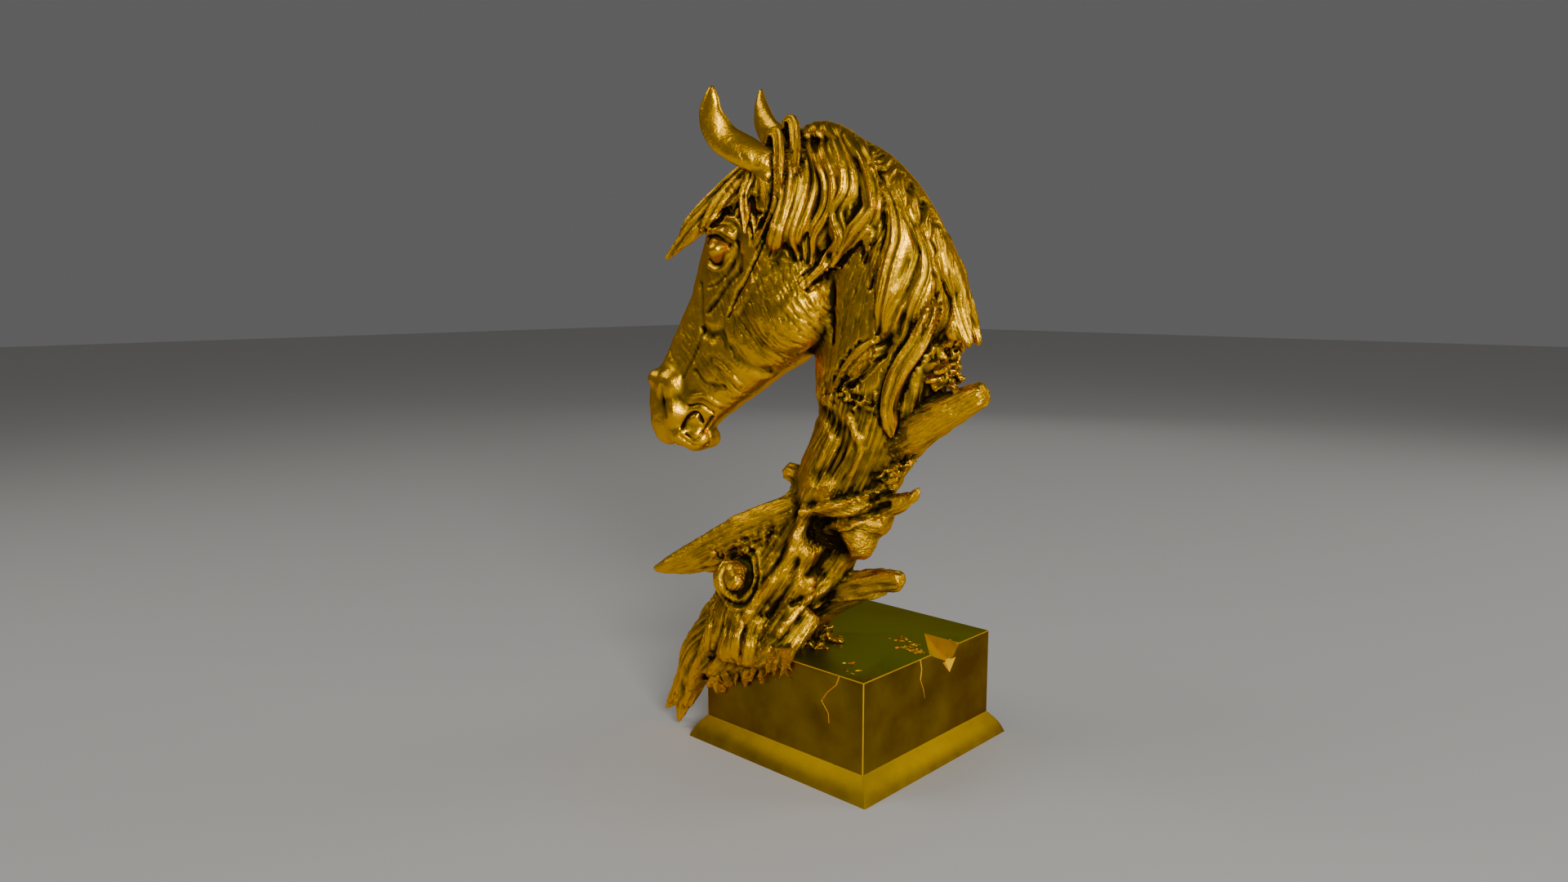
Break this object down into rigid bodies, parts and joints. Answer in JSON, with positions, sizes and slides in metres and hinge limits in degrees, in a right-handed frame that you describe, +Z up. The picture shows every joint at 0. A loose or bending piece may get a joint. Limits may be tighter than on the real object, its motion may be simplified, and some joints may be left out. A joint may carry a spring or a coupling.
{
  "type": "horse sculpture",
  "caption": "Horse's head and neck with a flowing mane, growing out of a driftwood trunk with branches and roots, on a square flared plinth.",
  "frame": {"origin": "centre of the plinth's underside", "axes": "+Z up; the plinth's two faces seen in front look along -Y and +X, and the horse looks roughly along -X"},
  "size_m": [0.2172, 0.1558, 0.4151],
  "materials": {
    "casting": "satin antique gold, dark in the hollows",
    "plinth": "satin antique gold, darker and smoother"
  },
  "bodies": {
    "root": {"horse_and_driftwood": "casting", "plinth": "plinth"}
  },
  "joints": []
}
